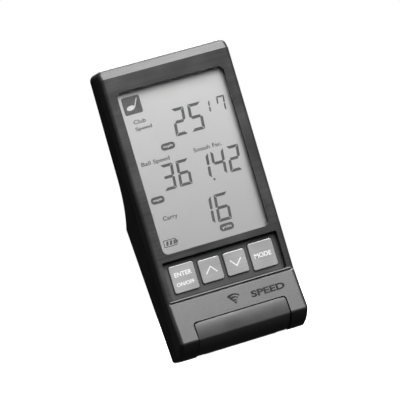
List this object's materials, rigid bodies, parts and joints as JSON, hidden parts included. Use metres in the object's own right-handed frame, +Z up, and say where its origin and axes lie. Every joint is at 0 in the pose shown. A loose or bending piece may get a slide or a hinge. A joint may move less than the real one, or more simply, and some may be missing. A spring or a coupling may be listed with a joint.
{
  "type": "pocket sports radar",
  "caption": "Hand-sized upright speed radar with a large display, keys under it, a sloping radar panel and a stand that folds out of the back.",
  "frame": {"origin": "on the floor under the middle of the case, which stands upright on its flat bottom", "axes": "+Z up along the case, -Y out of the display, +X to the right seen from the front"},
  "size_m": [0.0722, 0.0378, 0.155],
  "materials": {
    "case_plastic": "dark charcoal paint, satin",
    "cover_plastic": "dark grey metallic paint, satin",
    "key_plate_plastic": "dark grey, satin",
    "key_silver": "silver paint, satin, light printed legends",
    "window_plastic": "clear acrylic",
    "display_film": "clear polariser",
    "display_glass": "clear glass",
    "display_reflector": "pale grey-green reflector",
    "white_plastic": "white plastic",
    "contact_rubber": "striped contact rubber",
    "circuit_board": "green solder mask",
    "copper": "gold-plated copper",
    "tin_plate": "tin-plated steel",
    "steel": "bright steel",
    "black_screw": "black-coated steel",
    "cable_film": "amber film",
    "chip_black": "black moulding",
    "capacitor_body": "tan ceramic",
    "inner_plastic": "black plastic",
    "foam": "black foam",
    "stand_plastic": "dark charcoal, satin",
    "pad_rubber": "black rubber",
    "cell_jacket": "plain printed jacket",
    "switch_plastic": "black plastic"
  },
  "bodies": {
    "case": {"battery_cell_1": "cell_jacket", "battery_cell_2": "cell_jacket", "battery_cell_3": "cell_jacket", "battery_cell_4": "cell_jacket", "battery_springs": "tin_plate", "battery_tray": "inner_plastic", "board_screws": "steel", "capacitors": "capacitor_body", "case_screws": "black_screw", "contact_plates": "tin_plate", "crystal": "tin_plate", "display_contact_strips": "contact_rubber", "display_frame": "white_plastic", "display_front_film": "display_film", "display_front_glass": "display_glass", "display_rear_glass": "display_glass", "display_reflector": "display_reflector", "display_window": "window_plastic", "front_case": "case_plastic", "key_plate": "key_plate_plastic", "key_switches": "tin_plate", "main_board": "circuit_board", "memory_chip": "chip_black", "power_chip": "chip_black", "processor_chip": "chip_black", "radar_board": "circuit_board", "radar_cable": "cable_film", "radar_cable_socket": "white_plastic", "radar_cover": "cover_plastic", "radar_patches": "copper", "radar_screws": "steel", "radar_shield": "tin_plate", "rear_case": "case_plastic", "stand_pin": "steel", "stand_washers": "steel", "tray_screws": "steel", "window_seal": "foam"},
    "enter_key": {"key_enter": "key_silver", "switch_button_enter": "switch_plastic"},
    "up_key": {"key_up": "key_silver", "switch_button_up": "switch_plastic"},
    "down_key": {"key_down": "key_silver", "switch_button_down": "switch_plastic"},
    "mode_key": {"key_mode": "key_silver", "switch_button_mode": "switch_plastic"},
    "door": {"battery_door": "case_plastic", "battery_door_pad": "foam"},
    "stand": {"stand_leg": "stand_plastic", "stand_pad": "pad_rubber"}
  },
  "joints": [
    {"name": "enter_key_press", "type": "slide", "parent": "case", "child": "enter_key", "axis": [0, 1, 0], "range_m": [0, 0.0005], "stiffness_N_per_m": 1500, "springref_m": -0.0003},
    {"name": "up_key_press", "type": "slide", "parent": "case", "child": "up_key", "axis": [0, 1, 0], "range_m": [0, 0.0005], "stiffness_N_per_m": 1500, "springref_m": -0.0003},
    {"name": "down_key_press", "type": "slide", "parent": "case", "child": "down_key", "axis": [0, 1, 0], "range_m": [0, 0.0005], "stiffness_N_per_m": 1500, "springref_m": -0.0003},
    {"name": "mode_key_press", "type": "slide", "parent": "case", "child": "mode_key", "axis": [0, 1, 0], "range_m": [0, 0.0005], "stiffness_N_per_m": 1500, "springref_m": -0.0003},
    {"name": "battery_door_swing", "type": "hinge", "parent": "case", "child": "door", "pos_m": [0, 0.00766, 0.01491], "axis": [-1, 0, 0], "range_deg": [0, 60]},
    {"name": "stand_swing", "type": "hinge", "parent": "case", "child": "stand", "pos_m": [0, 0.01507, 0.07199], "axis": [1, 0, 0], "range_deg": [0, 55]}
  ]
}
